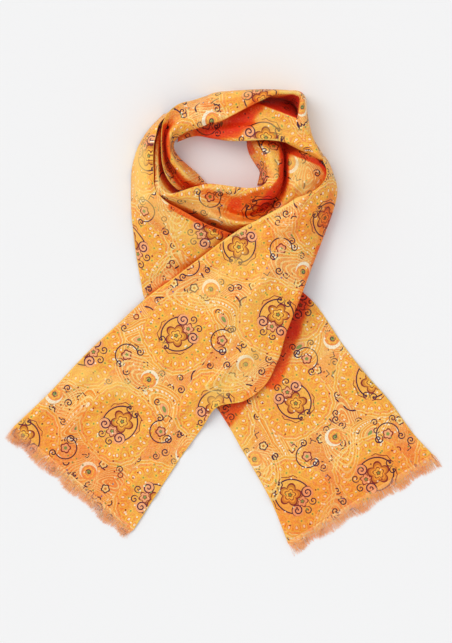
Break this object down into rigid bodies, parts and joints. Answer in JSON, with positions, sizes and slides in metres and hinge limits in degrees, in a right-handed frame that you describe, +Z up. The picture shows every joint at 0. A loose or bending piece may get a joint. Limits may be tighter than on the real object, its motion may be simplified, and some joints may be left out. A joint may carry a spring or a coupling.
{
  "type": "silk scarf",
  "caption": "Long printed silk scarf with fringed ends, wound twice into a neck loop and laid flat with its tails crossed.",
  "frame": {"origin": "centre of the bounding box's base, on the surface that the scarf lies on", "axes": "+Z up from that surface, +Y from the fringed tails towards the neck loop, +X to the right seen from above"},
  "size_m": [0.4767, 0.5112, 0.042],
  "materials": {
    "front_tail": "soft silk sheen",
    "right_shoulder": "soft silk sheen",
    "back_tail": "soft silk sheen",
    "left_panel": "soft silk sheen",
    "back_band": "soft silk sheen",
    "top_band": "soft silk sheen",
    "left_inner_band": "soft silk sheen",
    "front_band": "soft silk sheen",
    "right_band": "soft silk sheen",
    "inner_turn": "soft silk sheen",
    "fringe_front": "matt frayed threads",
    "fringe_back": "matt frayed threads"
  },
  "bodies": {
    "root": {"front_tail": "front_tail", "right_shoulder": "right_shoulder", "back_tail": "back_tail", "left_panel": "left_panel", "back_band": "back_band", "top_band": "top_band", "left_inner_band": "left_inner_band", "front_band": "front_band", "right_band": "right_band", "inner_turn": "inner_turn", "fringe_front": "fringe_front", "fringe_back": "fringe_back"}
  },
  "joints": []
}
